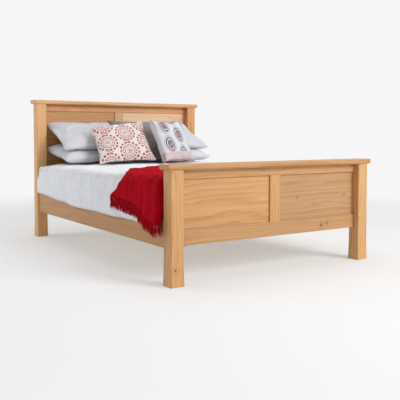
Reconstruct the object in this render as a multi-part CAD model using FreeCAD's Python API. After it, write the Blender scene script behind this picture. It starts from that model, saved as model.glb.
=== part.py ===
import FreeCAD, Part
import math
import os

# Panel bed in oak, dressed with mattress, duvet, pillows, cushions and a fringed throw.
# Millimetres. X across the bed, +Y towards the head, +Z up.
# The origin is on the floor, midway between the posts.

V = FreeCAD.Vector
X_AXIS, Y_AXIS, Z_AXIS = V(1, 0, 0), V(0, 1, 0), V(0, 0, 1)

# ---------------------------------------------------------------- driving dimensions
# mattress that the bed is built round: nominal size, and how much shorter it is made
mattress_width = 1350.0
mattress_length = 1900.0
mattress_thickness = 225.0
mattress_shortfall = 18.0
mattress_side_room = 17.5
mattress_end_room = 3.5
mattress_corner = 50.0
mattress_edge = 12.0

# posts
post_size = 79.0
post_arris = 6.0
post_swell = 3.0
post_swell_height = 190.0
foot_post_height = 607.0
head_post_height = 1028.0

# caps over the end frames
cap_thickness = 30.0
cap_overhang_side = 21.0
cap_overhang_face = 10.0
cap_nosing = 7.0
cap_cove = 7.0
dowel_diameter = 10.0
dowel_length = 40.0
dowel_spacing = 38.0

# end frames: rails, muntins and panels
frame_thickness = 25.0
foot_face_recess = 37.5
head_face_recess = 52.0
bottom_rail_height = 82.0
bottom_rail_underside = 205.0
foot_top_rail_height = 50.0
head_top_rail_height = 52.0
muntin_width = 77.0
panel_thickness = 10.0
panel_recess = 10.0
groove_depth = 10.0
panel_edge_room = 3.0
tenon_length = 25.0
tenon_shoulder = 10.0
tenon_end_room = 1.0
stub_end_room = 0.5
joint_clearance = 0.2
frame_arris = 1.5

# side rails and what they carry
side_rail_height = 145.0
side_rail_underside = 195.0
side_rail_thickness = 25.0
side_rail_inset = 10.0
side_rail_arris = 3.0
ledger_width = 25.0
ledger_height = 30.0
ledger_bracket_gap = 5.0
ledger_screw_count = 5
tape_width = 25.0
tape_thickness = 1.2
tape_spacing = 800.0

# slats and the rail under their middle
slat_count = 13
slat_width = 70.0
slat_thickness = 18.0
slat_top = 305.0
slat_arris = 3.0
slat_end_room = 3.0
slat_end_margin = 30.0
centre_rail_width = 40.0
centre_rail_height = 60.0
centre_rail_end_room = 3.0
centre_leg_size = 40.0
centre_arris = 2.0
centre_leg_spacing = 600.0
glide_diameter = 38.0
glide_top_diameter = 28.0
glide_height = 8.0
glide_travel = 5.0
glide_stem_diameter = 8.0
glide_stem_length = 30.0

# hardware
bracket_flange = 40.0
bracket_height = 66.0
bracket_steel = 3.0
bracket_slat_gap = 7.0
bracket_screw_inset = 24.0
shoe_steel = 2.5
shoe_height = 46.0
shoe_ear = 22.0
shoe_depth = 38.0
bolt_diameter = 8.0
bolt_length = 48.0
bolt_head_diameter = 13.0
bolt_head_height = 6.0
bolt_head_room = 2.5
screw_diameter = 5.0
screw_length = 18.0
screw_head_diameter = 9.0
screw_head_height = 2.5
screw_head_top = 5.4
ledger_screw_length = 38.0
slat_screw_diameter = 4.0
slat_screw_length = 34.0
slat_screw_head_diameter = 8.0
screw_head_sink = 0.5
hole_clearance = 0.15
round_flats = 8

# duvet
cover_gap = 0.6
duvet_thickness = 34.0
duvet_crown = 14.0
duvet_hang_thickness = 22.0
duvet_side_room = 5.0
duvet_rail_clearance = 12.0
duvet_rail_shoulder = 14.0
duvet_rail_taper = 2.0
duvet_foot_room = 21.5
duvet_head_room = 48.5
duvet_hem_height = 312.0
duvet_hem_climb = 38.0
duvet_climb_start = 1030.0
duvet_climb_run = 800.0
duvet_corner_dip = 50.0
duvet_dip_run = 172.0
duvet_section_count = 10
duvet_fold_depth = 7.0
duvet_fold_pitch = 470.0
duvet_shoulder = 62.0
duvet_flare = 6.0
duvet_lip = 6.0
duvet_inner_bend = 18.0
duvet_end_roll = 9.0
duvet_end_run = 14.0

# throw: lengths are measured from its foot end, heights from the floor
throw_gap = 0.7
throw_thickness = 3.5
throw_length_in_middle = 825.0
throw_length_at_shoulder = 420.0
throw_length_at_side = 460.0
throw_length_at_hem = 530.0
throw_side_height = 484.0
throw_hem_rear = 428.0
throw_hem_knee = 400.0
throw_hem_drop = 350.0
throw_hem_foot = 318.0
throw_knee = 205.0
throw_drop = 120.0
throw_fold_depth = 6.0
throw_fold_pitch = 160.0
throw_section_step = 40.0
throw_side_room = 4.0
fringe_length = 50.0
fringe_thickness = 2.0

# pillows and cushions
pillow_width = 638.0
pillow_height = 425.0
pillow_thickness = 118.0
pillow_middle_gap = 4.0
pillow_seam = 8.0
pillow_draw_in = 14.0
grey_pillow_width = 640.0
grey_pillow_height = 430.0
grey_pillow_thickness = 86.0
sprig_cushion_width = 440.0
sprig_cushion_height = 395.0
print_cushion_width = 380.0
print_cushion_height = 338.0
cushion_thickness = 98.0
cushion_seam = 8.0
cushion_draw_in = 13.0
print_cushion_band = 28.0
print_cushion_slope = 62.0
corner_trim = 1.5
rest_gap = 0.6
rest_tolerance = 0.05

# ---------------------------------------------------------------- derived places
width_over_posts = mattress_width + 2 * (mattress_side_room + side_rail_thickness + side_rail_inset)
length_over_posts = mattress_length + 2 * (mattress_end_room + post_size)
half_width = width_over_posts / 2
half_length = length_over_posts / 2
post_inner_x = half_width - post_size
post_inner_y = half_length - post_size
side_rail_outer = half_width - side_rail_inset
side_rail_inner = side_rail_outer - side_rail_thickness
side_rail_top = side_rail_underside + side_rail_height
foot_frame_face = -half_length + foot_face_recess
head_frame_face = post_inner_y + head_face_recess
bottom_rail_top = bottom_rail_underside + bottom_rail_height
slat_underside = slat_top - slat_thickness
mattress_top = slat_top + mattress_thickness
mortise_depth = tenon_length + tenon_end_room


# ---------------------------------------------------------------- helpers
def block(x, y, z):
    """A box from three (low, high) pairs."""
    return Part.makeBox(x[1] - x[0], y[1] - y[0], z[1] - z[0], V(x[0], y[0], z[0]))


def rod(diameter, length, base, direction=Z_AXIS):
    return Part.makeCylinder(diameter / 2, length, base, direction)


def flat_ring(diameter, base, direction, flats):
    """Polygon across a direction that stands for a small circle."""
    across = X_AXIS if abs(direction.x) < 0.5 else Z_AXIS
    other = direction.cross(across)
    points = []
    for i in range(flats):
        angle = 2 * math.pi * (i + 0.5) / flats
        points.append(base + (across * math.cos(angle) + other * math.sin(angle)) * (diameter / 2))
    return Part.makePolygon(points + points[:1])


def peg(diameter, length, base, direction=Z_AXIS, flats=round_flats):
    """Small round piece or hole, drawn with a few flats."""
    return Part.Face(flat_ring(diameter, base, direction, flats)).extrude(direction * length)


def taper(diameter, end_diameter, length, base, direction=Z_AXIS, flats=round_flats):
    """Small cone with a few flats, from the base along a direction."""
    rings = [
        flat_ring(diameter, base, direction, flats),
        flat_ring(end_diameter, base + direction * length, direction, flats),
    ]
    return Part.makeLoft(rings, True, True)


def mirrored(shape):
    """The same piece on the other side of the bed."""
    return shape.mirror(V(0, 0, 0), X_AXIS)


def long_edges(shape, axis):
    """Straight edges that run along an axis over the whole piece."""
    box = shape.BoundBox
    reach = {"x": box.XLength, "y": box.YLength, "z": box.ZLength}[axis]
    found = []
    for edge in shape.Edges:
        ends = edge.BoundBox
        run = {"x": ends.XLength, "y": ends.YLength, "z": ends.ZLength}[axis]
        if run > reach - 0.01 and edge.Length < run + 0.01:
            found.append(edge)
    return found


def eased(shape, axis, radius):
    """Round the arrises that run along an axis."""
    return shape.makeFillet(radius, long_edges(shape, axis))


def bevelled(shape, axis, size):
    """Plane off the arrises that run along an axis."""
    return shape.makeChamfer(size, long_edges(shape, axis))


def save(name, shape):
    if len(shape.Solids) == 1 and shape.ShapeType != "Solid":
        shape = shape.Solids[0]
    if not shape.isValid():
        print("not valid:", name)
    shape.exportStep("parts/" + name + ".step")
    made[name] = shape


# ---------------------------------------------------------------- fasteners
def bolt(base, direction):
    """Round-headed bolt; base is under its head, direction points to its tip."""
    shank = peg(bolt_diameter, bolt_length, base, direction)
    head = peg(bolt_head_diameter, bolt_head_height, base - direction * bolt_head_height, direction)
    return shank.fuse(head).removeSplitter()


def pan_screw(base, direction):
    shank = peg(screw_diameter, screw_length, base, direction)
    head = taper(screw_head_top, screw_head_diameter, screw_head_height,
                 base - direction * screw_head_height, direction)
    return shank.fuse(head).removeSplitter()


def countersunk_screw(base, direction, diameter, length, head_diameter):
    """Base is the middle of the flat top of the head."""
    head_height = (head_diameter - diameter) / 2
    head = taper(head_diameter, diameter, head_height, base, direction)
    shank = peg(diameter, length, base, direction)
    return shank.fuse(head).removeSplitter()


def shank_hole(base, direction, diameter, length):
    return peg(diameter + 2 * hole_clearance, length + 1, base, direction)


def countersink(base, direction, diameter, length, head_diameter):
    """Hole for a countersunk screw whose head lies just under the surface."""
    wide = head_diameter + 2 * hole_clearance
    narrow = diameter + 2 * hole_clearance
    mouth = peg(wide, screw_head_sink, base - direction * screw_head_sink, direction)
    cone = taper(wide, narrow, (wide - narrow) / 2, base, direction)
    return shank_hole(base, direction, diameter, length).fuse([mouth, cone])


# ---------------------------------------------------------------- posts and caps
def eased_square(size, radius, z):
    """Wire of a square with rounded corners, centred on Z."""
    half = size / 2
    flat = half - radius
    turn = radius * (1 - math.sqrt(0.5))
    edges = []
    for quarter in range(4):
        side = [V(half, -flat, z), V(half, flat, z)]
        corner = [V(half, flat, z), V(half - turn, half - turn, z), V(flat, half, z)]
        line = Part.makeLine(*side)
        arc = Part.Arc(*corner).toShape()
        for edge in (line, arc):
            edge.rotate(V(0, 0, 0), Z_AXIS, 90 * quarter)
            edges.append(edge)
    return Part.Wire(edges)


def post_blank(height):
    """Square post whose foot swells gently over its lowest part."""
    levels = [(0.0, post_swell), (0.3, post_swell * 0.5), (0.65, post_swell * 0.12), (1.0, 0.0)]
    wires = []
    for share, swell in levels:
        wires.append(eased_square(post_size + 2 * swell, post_arris, post_swell_height * share))
    swelled = Part.makeLoft(wires, True, True)
    top = Part.Face(eased_square(post_size, post_arris, post_swell_height))
    shaft = top.extrude(V(0, 0, height - post_swell_height))
    return swelled.fuse(shaft).removeSplitter()


def frame_post(height, frame_face, end, top_rail_height):
    """Right-hand post, grooved and mortised for the frame and bored for bolts and dowels."""
    centre_y = end * (half_length - post_size / 2)
    post = post_blank(height)
    post.translate(V(half_width - post_size / 2, centre_y, 0))
    panel_face = frame_face + panel_recess
    slot_y = (panel_face - joint_clearance, panel_face + panel_thickness + joint_clearance)
    tongue_low = bottom_rail_underside + tenon_shoulder - joint_clearance
    tongue_high = height - tenon_shoulder + joint_clearance
    groove_low = bottom_rail_top - groove_depth
    groove_high = height - top_rail_height + groove_depth
    cuts = [
        block((post_inner_x - 1, post_inner_x + groove_depth), slot_y, (groove_low, groove_high)),
        block((post_inner_x - 1, post_inner_x + mortise_depth), slot_y, (tongue_low, groove_low)),
        block((post_inner_x - 1, post_inner_x + mortise_depth), slot_y, (groove_high, tongue_high)),
    ]
    for centre in cap_dowel_places(end):
        cuts.append(peg(dowel_diameter + 2 * hole_clearance, dowel_length / 2 + 1,
                        V(centre[0], centre[1], height - dowel_length / 2 - 1)))
    for place in bolt_places(end):
        cuts.append(shank_hole(place, V(0, end, 0), bolt_diameter, bolt_length))
    return post.cut(cuts)


def cap_dowel_places(end):
    """Middles of the two dowels in the right-hand post of one end."""
    middle_y = end * (half_length - post_size / 2)
    x = half_width - post_size / 2
    return [(x, middle_y - dowel_spacing / 2), (x, middle_y + dowel_spacing / 2)]


def cap(end, height):
    """Overhanging cap: nosed on top, coved below, on both posts and the top rail."""
    middle_y = end * (half_length - post_size / 2)
    half_x = half_width + cap_overhang_side
    half_y = post_size / 2 + cap_overhang_face
    board = block((-half_x, half_x), (middle_y - half_y, middle_y + half_y), (height, height + cap_thickness))
    top_and_corners = []
    for edge in board.Edges:
        if edge.BoundBox.ZMin > height + cap_thickness - 0.01 or edge.BoundBox.ZLength > 1:
            top_and_corners.append(edge)
    board = board.makeFillet(cap_nosing, top_and_corners)
    cuts = []
    for side in (-1, 1):
        cuts.append(rod(2 * cap_cove, 2 * half_x + 2, V(-half_x - 1, middle_y + side * half_y, height), X_AXIS))
        cuts.append(rod(2 * cap_cove, 2 * half_y + 2, V(side * half_x, middle_y - half_y - 1, height), Y_AXIS))
        for x, y in cap_dowel_places(end):
            cuts.append(peg(dowel_diameter + 2 * hole_clearance, dowel_length / 2 + 1, V(side * x, y, height)))
    return board.cut(cuts)


def cap_dowels():
    pegs = []
    for end, height in ((-1, foot_post_height), (1, head_post_height)):
        for x, y in cap_dowel_places(end):
            for side in (-1, 1):
                pegs.append(peg(dowel_diameter, dowel_length, V(side * x, y, height - dowel_length / 2)))
    return Part.makeCompound(pegs)


# ---------------------------------------------------------------- frame and panel work
def frame_rail(frame_face, low, high, groove_at_top):
    """Horizontal rail with a groove for the panels and a tenon at each end."""
    rail = block((-post_inner_x, post_inner_x), (frame_face, frame_face + frame_thickness), (low, high))
    rail = eased(rail, "x", frame_arris)
    panel_face = frame_face + panel_recess
    reach = post_inner_x + tenon_length
    if groove_at_top:
        groove_z = (high - groove_depth, high + 1)
        tenon_z = (low + tenon_shoulder, high - groove_depth)
    else:
        groove_z = (low - 1, low + groove_depth)
        tenon_z = (low + groove_depth, high - tenon_shoulder)
    slot_y = (panel_face - joint_clearance, panel_face + panel_thickness + joint_clearance)
    rail = rail.cut(block((-post_inner_x - 1, post_inner_x + 1), slot_y, groove_z))
    tenon = block((-reach, reach), (panel_face, panel_face + panel_thickness), tenon_z)
    return rail.fuse(tenon).removeSplitter()


def muntin(frame_face, low, high):
    """Upright between the panels: grooved on both sides, stub tenons in the rails."""
    half = muntin_width / 2
    upright = block((-half, half), (frame_face, frame_face + frame_thickness), (low, high))
    upright = eased(upright, "z", frame_arris)
    panel_face = frame_face + panel_recess
    stub_reach = groove_depth - stub_end_room
    stub_z = (low - stub_reach, high + stub_reach)
    slot_y = (panel_face - joint_clearance, panel_face + panel_thickness + joint_clearance)
    stub_half = half - groove_depth - 1
    stub = block((-stub_half, stub_half), (panel_face, panel_face + panel_thickness), stub_z)
    upright = upright.fuse(stub)
    for side in (-1, 1):
        inner, outer = sorted((side * (half - groove_depth), side * (half + 1)))
        upright = upright.cut(block((inner, outer), slot_y, (low - 1, high + 1)))
    return upright.removeSplitter()


def panel(frame_face, low, high):
    """Right-hand panel: stands on the bottom of its groove, with room to move elsewhere."""
    panel_face = frame_face + panel_recess
    tongue = groove_depth - panel_edge_room
    x = (muntin_width / 2 - tongue, post_inner_x + tongue)
    z = (low - groove_depth, high + tongue)
    return block(x, (panel_face, panel_face + panel_thickness), z)


def end_frame(name, frame_face, end, height, top_rail_height):
    top_rail_underside = height - top_rail_height
    low, high = bottom_rail_top, top_rail_underside
    post = frame_post(height, frame_face, end, top_rail_height)
    save(name + "_post_right", post)
    save(name + "_post_left", mirrored(post))
    save(name + "_cap", cap(end, height))
    save(name + "_top_rail", frame_rail(frame_face, high, height, False))
    rail = frame_rail(frame_face, bottom_rail_underside, low, True)
    save(name + "_bottom_rail", rail.cut(shoe_screw_holes(end)))
    save(name + "_muntin", muntin(frame_face, low, high))
    field = panel(frame_face, low, high)
    save(name + "_panel_right", field)
    save(name + "_panel_left", mirrored(field))


# ---------------------------------------------------------------- side rails, ledgers, brackets
bracket_top = slat_underside - bracket_slat_gap
bracket_z = (bracket_top - bracket_height, bracket_top)


def bolt_places(end):
    """Under the heads of the two bolts of the right-hand bracket at one end."""
    x = side_rail_inner - bracket_steel - bolt_head_diameter / 2 - bolt_head_room
    y = end * (post_inner_y - bracket_steel)
    lift = bracket_height / 4
    return [V(x, y, bracket_z[0] + lift), V(x, y, bracket_z[1] - lift)]


def bracket_screw_places(end):
    x = side_rail_inner - bracket_steel
    y = end * (post_inner_y - bracket_screw_inset)
    lift = bracket_height / 4
    return [V(x, y, bracket_z[0] + lift), V(x, y, bracket_z[1] - lift)]


def corner_bracket(end):
    """Right-hand angle bracket between side rail and post."""
    inner_x = side_rail_inner - bracket_flange
    inner_y = post_inner_y - bracket_flange
    outline = [
        V(side_rail_inner, post_inner_y, bracket_z[0]),
        V(inner_x, post_inner_y, bracket_z[0]),
        V(inner_x, post_inner_y - bracket_steel, bracket_z[0]),
        V(side_rail_inner - bracket_steel, post_inner_y - bracket_steel, bracket_z[0]),
        V(side_rail_inner - bracket_steel, inner_y, bracket_z[0]),
        V(side_rail_inner, inner_y, bracket_z[0]),
    ]
    angle = Part.Face(Part.makePolygon(outline + outline[:1])).extrude(V(0, 0, bracket_height))
    angle = angle.makeFillet(bracket_steel * 0.8, [angle_edge(angle, side_rail_inner - bracket_steel)])
    if end < 0:
        angle = angle.mirror(V(0, 0, 0), Y_AXIS)
    cuts = [shank_hole(p - V(0, end, 0), V(0, end, 0), bolt_diameter, bolt_length) for p in bolt_places(end)]
    for place in bracket_screw_places(end):
        cuts.append(shank_hole(place - X_AXIS, X_AXIS, screw_diameter, screw_length))
    return angle.cut(cuts)


def angle_edge(angle, x):
    """The inside corner edge of the bent angle."""
    for edge in angle.Edges:
        box = edge.BoundBox
        upright = box.ZLength > bracket_height - 0.01
        if upright and abs(box.XMin - x) < 0.01 and abs(box.YMin - (post_inner_y - bracket_steel)) < 0.01:
            return edge


ledger_end = post_inner_y - bracket_flange - ledger_bracket_gap


def ledger_screw_places():
    """Each screw lies midway between two slats."""
    slats = slat_places()
    half_pitch = (slats[1] - slats[0]) / 2
    x = side_rail_inner - ledger_width + screw_head_sink
    z = slat_underside - ledger_height / 2
    gaps = [round(i * (slat_count - 2) / (ledger_screw_count - 1)) for i in range(ledger_screw_count)]
    return [V(x, slats[gap] + half_pitch, z) for gap in gaps]


def side_rail():
    rail = block((side_rail_inner, side_rail_outer), (-post_inner_y, post_inner_y),
                 (side_rail_underside, side_rail_top))
    rail = eased(rail, "y", side_rail_arris)
    cuts = []
    for end in (-1, 1):
        for place in bracket_screw_places(end):
            cuts.append(shank_hole(place, X_AXIS, screw_diameter, screw_length))
    for place in ledger_screw_places():
        cuts.append(shank_hole(place, X_AXIS, screw_diameter, ledger_screw_length))
    return rail.cut(cuts)


def ledger():
    strip = block((side_rail_inner - ledger_width, side_rail_inner), (-ledger_end, ledger_end),
                  (slat_underside - ledger_height, slat_underside))
    cuts = []
    for place in ledger_screw_places():
        cuts.append(countersink(place, X_AXIS, screw_diameter, ledger_screw_length, screw_head_diameter))
    for y in end_slat_places():
        cuts.append(shank_hole(slat_screw_top(y), -Z_AXIS, slat_screw_diameter, slat_screw_length))
    return strip.cut(cuts)


# ---------------------------------------------------------------- slats and centre support
def slat_places():
    first = -mattress_length / 2 + slat_end_margin + slat_width / 2
    step = -2 * first / (slat_count - 1)
    return [first + step * i for i in range(slat_count)]


def end_slat_places():
    """The first and last slats are screwed down; tapes hold the others."""
    places = slat_places()
    return [places[0], places[-1]]


def slat_screw_top(y):
    return V(side_rail_inner - ledger_width / 2, y, slat_top - screw_head_sink)


def slat(y):
    half = side_rail_inner - slat_end_room
    board = block((-half, half), (y - slat_width / 2, y + slat_width / 2), (slat_underside, slat_top))
    board = bevelled(board, "x", slat_arris)
    if y not in end_slat_places():
        return board
    cuts = []
    for side in (-1, 1):
        top = slat_screw_top(y)
        top.x = top.x * side
        cuts.append(countersink(top, -Z_AXIS, slat_screw_diameter, slat_screw_length,
                                slat_screw_head_diameter))
    return board.cut(cuts)


def slat_tape(side):
    """Webbing stapled under every slat, which keeps them spaced."""
    middle = side * tape_spacing / 2
    reach = slat_places()[-1] + slat_width / 2 - slat_arris
    return block((middle - tape_width / 2, middle + tape_width / 2), (-reach, reach),
                 (slat_underside - tape_thickness, slat_underside))


centre_rail_foot = foot_frame_face + frame_thickness
centre_rail_head = head_frame_face


def centre_rail():
    half = centre_rail_width / 2
    rail = block((-half, half), (centre_rail_foot + centre_rail_end_room, centre_rail_head - centre_rail_end_room),
                 (slat_underside - centre_rail_height, slat_underside))
    return bevelled(rail, "y", centre_arris)


def shoe_screw_places(end):
    """Under the heads of the four screws of one shoe."""
    x = centre_rail_width / 2 + shoe_steel + shoe_ear / 2
    y = (centre_rail_foot + shoe_steel) if end < 0 else (centre_rail_head - shoe_steel)
    base = slat_underside - centre_rail_height
    return [V(sx * x, y, base + shoe_height * share) for sx in (-1, 1) for share in (0.25, 0.75)]


def shoe_screw_holes(end):
    return [shank_hole(p, V(0, end, 0), screw_diameter, screw_length) for p in shoe_screw_places(end)]


def centre_rail_shoe(end):
    """Folded steel shoe that holds one end of the centre rail."""
    inner = centre_rail_width / 2 + joint_clearance
    outer = inner + shoe_steel
    base = slat_underside - centre_rail_height
    if end < 0:
        ear_y = (centre_rail_foot, centre_rail_foot + shoe_steel)
        cheek_y = (centre_rail_foot, centre_rail_foot + shoe_depth)
    else:
        ear_y = (centre_rail_head - shoe_steel, centre_rail_head)
        cheek_y = (centre_rail_head - shoe_depth, centre_rail_head)
    seat = block((-outer, outer), cheek_y, (base - shoe_steel, base))
    pieces = []
    for side in (-1, 1):
        pieces.append(block(sorted((side * inner, side * outer)), cheek_y, (base - shoe_steel, base + shoe_height)))
        ear_x = sorted((side * inner, side * (outer + shoe_ear)))
        pieces.append(block(ear_x, ear_y, (base, base + shoe_height)))
    shoe = seat.fuse(pieces).removeSplitter()
    cuts = [shank_hole(p - V(0, end, 0), V(0, end, 0), screw_diameter, screw_length) for p in shoe_screw_places(end)]
    return shoe.cut(cuts)


leg_top = slat_underside - centre_rail_height
leg_bottom = glide_height + glide_travel


def centre_leg(y):
    """Leg under the centre rail, bored for its glide."""
    half = centre_leg_size / 2
    leg = block((-half, half), (y - half, y + half), (leg_bottom, leg_top))
    leg = bevelled(leg, "z", centre_arris)
    return leg.cut(peg(glide_stem_diameter + 2 * hole_clearance, glide_stem_length, V(0, y, leg_bottom - 1)))


def centre_glide(y):
    """Screw-in foot: a tapered disc on a threaded stem."""
    disc = Part.makeCone(glide_diameter / 2, glide_top_diameter / 2, glide_height, V(0, y, 0))
    stem = peg(glide_stem_diameter, glide_height + glide_stem_length - 4, V(0, y, 1))
    return disc.fuse(stem).removeSplitter()


# ---------------------------------------------------------------- fastener groups
def both_ends(places):
    found = []
    for end in (-1, 1):
        for place in places(end):
            found.append((end, place))
    return found


def right_and_left(shape):
    return [shape, mirrored(shape)]


def bed_bolts():
    pieces = []
    for end, place in both_ends(bolt_places):
        pieces += right_and_left(bolt(place, V(0, end, 0)))
    return Part.makeCompound(pieces)


def bracket_screws():
    pieces = []
    for end, place in both_ends(bracket_screw_places):
        pieces += right_and_left(pan_screw(place, X_AXIS))
    for end, place in both_ends(shoe_screw_places):
        pieces.append(pan_screw(place, V(0, end, 0)))
    return Part.makeCompound(pieces)


def ledger_screws():
    pieces = []
    for place in ledger_screw_places():
        screw = countersunk_screw(place, X_AXIS, screw_diameter, ledger_screw_length, screw_head_diameter)
        pieces += right_and_left(screw)
    return Part.makeCompound(pieces)


def slat_screws():
    pieces = []
    for y in end_slat_places():
        screw = countersunk_screw(slat_screw_top(y), -Z_AXIS, slat_screw_diameter, slat_screw_length,
                                  slat_screw_head_diameter)
        pieces += right_and_left(screw)
    return Part.makeCompound(pieces)


# ---------------------------------------------------------------- mattress
def mattress():
    half_x = mattress_width / 2
    half_y = (mattress_length - mattress_shortfall) / 2
    slab = block((-half_x, half_x), (-half_y, half_y), (slat_top, mattress_top))
    slab = eased(slab, "z", mattress_corner)
    rims = [e for e in slab.Edges if e.BoundBox.ZLength < 0.01]
    return slab.makeChamfer(mattress_edge, rims)


# ---------------------------------------------------------------- duvet and throw
def smooth(share):
    """Goes from 0 to 1 with level ends."""
    share = min(max(share, 0.0), 1.0)
    return share * share * (3 - 2 * share)


inner_side = mattress_width / 2 + duvet_side_room
inner_hem = side_rail_outer + duvet_rail_clearance
cover_inner_top = mattress_top + cover_gap
cover_outer_top = cover_inner_top + duvet_thickness
duvet_foot_end = -post_inner_y + duvet_foot_room
duvet_head_end = post_inner_y - duvet_head_room
throw_foot_end = duvet_foot_end - throw_gap - throw_thickness
throw_rear_in_middle = throw_foot_end + throw_length_in_middle


def outer_points(offset, hem, bulge, crown):
    """Outline of the covers from the middle of the top to the right-hand hem."""
    side_x = inner_hem + duvet_hang_thickness + offset
    top_z = cover_outer_top + offset
    shoulder = duvet_shoulder + offset
    turn = shoulder * (1 - math.sqrt(0.5))
    drop_z = top_z - shoulder
    return {
        "crown": V(0, 0, top_z + crown),
        "top": V(side_x - shoulder - duvet_flare, 0, top_z),
        "shoulder": V(side_x - duvet_flare - turn, 0, top_z - turn),
        "drop": V(side_x - duvet_flare, 0, drop_z),
        "side": V(side_x + (bulge - duvet_flare) / 2 + 1, 0, (drop_z + hem) / 2),
        "hem": V(side_x + bulge, 0, hem),
    }


def flipped(point):
    return V(-point.x, point.y, point.z)


def arc3(a, b, c):
    return Part.Arc(a, b, c).toShape()


def outer_edges(right, left):
    """Edges over the covers from the left hem to the right hem."""
    l = {key: flipped(point) for key, point in left.items()}
    r = right
    return [
        arc3(l["hem"], l["side"], l["drop"]),
        arc3(l["drop"], l["shoulder"], l["top"]),
        arc3(l["top"], r["crown"], r["top"]),
        arc3(r["top"], r["shoulder"], r["drop"]),
        arc3(r["drop"], r["side"], r["hem"]),
    ]


def duvet_fold(y):
    """How far the hanging edge swings out, in soft folds."""
    phase = 2 * math.pi * y / duvet_fold_pitch
    return duvet_fold_depth * (1 + math.sin(phase))


def duvet_hem(y):
    """The hem climbs towards the head and dips at the foot corner."""
    from_foot = y - duvet_foot_end
    climb = duvet_hem_climb * smooth((from_foot - duvet_climb_start) / duvet_climb_run)
    dip = duvet_corner_dip * smooth(1 - from_foot / duvet_dip_run)
    return duvet_hem_height + climb - dip


def inner_edges(hem):
    """Edges of the hollow over mattress and side rails, from the right-hand hem to the left."""
    turn = duvet_inner_bend * (1 - math.sqrt(0.5))
    low = V(inner_hem, 0, hem)
    rail = V(inner_hem - duvet_rail_taper, 0, max(side_rail_top, hem) + duvet_rail_shoulder)
    up = V(inner_side, 0, cover_inner_top - duvet_inner_bend)
    mid = V(inner_side - turn, 0, cover_inner_top - turn)
    top = V(inner_side - duvet_inner_bend, 0, cover_inner_top)
    return [
        Part.makeLine(low, rail),
        Part.makeLine(rail, up),
        arc3(up, mid, top),
        Part.makeLine(top, flipped(top)),
        arc3(flipped(top), flipped(mid), flipped(up)),
        Part.makeLine(flipped(up), flipped(rail)),
        Part.makeLine(flipped(rail), flipped(low)),
    ]


def duvet_section(y, pinch):
    """Closed section of the duvet at y; pinch rolls the cut ends inwards."""
    hem = duvet_hem(y) + pinch
    right = outer_points(-pinch, hem, duvet_fold(y), duvet_crown)
    inner_low = V(inner_hem, 0, hem)
    hem_low = V((inner_hem + right["hem"].x) / 2, 0, hem - duvet_lip)
    edges = outer_edges(right, right)
    edges.append(arc3(right["hem"], hem_low, inner_low))
    edges += inner_edges(hem)
    edges.append(arc3(flipped(inner_low), flipped(hem_low), flipped(right["hem"])))
    wire = Part.Wire(edges)
    wire.translate(V(0, y, 0))
    return wire


def duvet():
    span = duvet_head_end - duvet_foot_end
    wires = [duvet_section(duvet_foot_end, duvet_end_roll)]
    wires.append(duvet_section(duvet_foot_end + duvet_end_run, 0.0))
    for i in range(1, duvet_section_count):
        wires.append(duvet_section(duvet_foot_end + span * i / duvet_section_count, 0.0))
    wires.append(duvet_section(duvet_head_end - duvet_end_run, 0.0))
    wires.append(duvet_section(duvet_head_end, duvet_end_roll))
    return Part.makeLoft(wires, True, True)


def throw_fold(y):
    """Folds of the thin throw, on top of the duvet's own."""
    phase = 2 * math.pi * (y - throw_foot_end) / throw_fold_pitch
    return throw_side_room + throw_fold_depth * (1 + math.sin(phase))


def throw_body(offset):
    """Everything under the throw's surface, out to an offset from the duvet."""
    wires = []
    floor = throw_hem_foot - 2 * fringe_length
    count = math.ceil(throw_length_in_middle / throw_section_step) + 1
    for i in range(count + 1):
        y = duvet_foot_end + throw_section_step * i
        if i == 0:
            y -= offset
        right = outer_points(offset, duvet_hem(y), duvet_fold(y) + throw_fold(y), duvet_crown)
        tail = V(right["hem"].x + throw_thickness, 0, floor)
        edges = [Part.makeLine(flipped(tail), flipped(right["hem"]))]
        edges += outer_edges(right, right)
        edges.append(Part.makeLine(right["hem"], tail))
        edges.append(Part.makeLine(tail, flipped(tail)))
        wire = Part.Wire(edges)
        wire.translate(V(0, y, 0))
        wires.append(wire)
    return Part.makeLoft(wires, True, True)


def bed_hollow():
    """The room inside the covers, taken by the mattress and the side rails."""
    low = bottom_rail_underside
    edges = inner_edges(low)
    edges.append(Part.makeLine(V(-inner_hem, 0, low), V(inner_hem, 0, low)))
    hollow = Part.Face(Part.Wire(edges)).extrude(V(0, length_over_posts, 0))
    hollow.translate(V(0, -half_length, 0))
    return hollow


def throw_hem_points(drop):
    """Side view of the hem from its rear corner to the foot end."""
    return [
        V(0, throw_foot_end + throw_length_at_hem, throw_hem_rear - drop),
        V(0, throw_foot_end + throw_knee, throw_hem_knee - drop),
        V(0, throw_foot_end + throw_drop, throw_hem_drop - drop),
        V(0, throw_foot_end, throw_hem_foot - drop),
    ]


def across_bed(side_view):
    """Side view drawn out over the whole width."""
    side_view.translate(V(-width_over_posts, 0, 0))
    return side_view.extrude(V(2 * width_over_posts, 0, 0))


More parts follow.
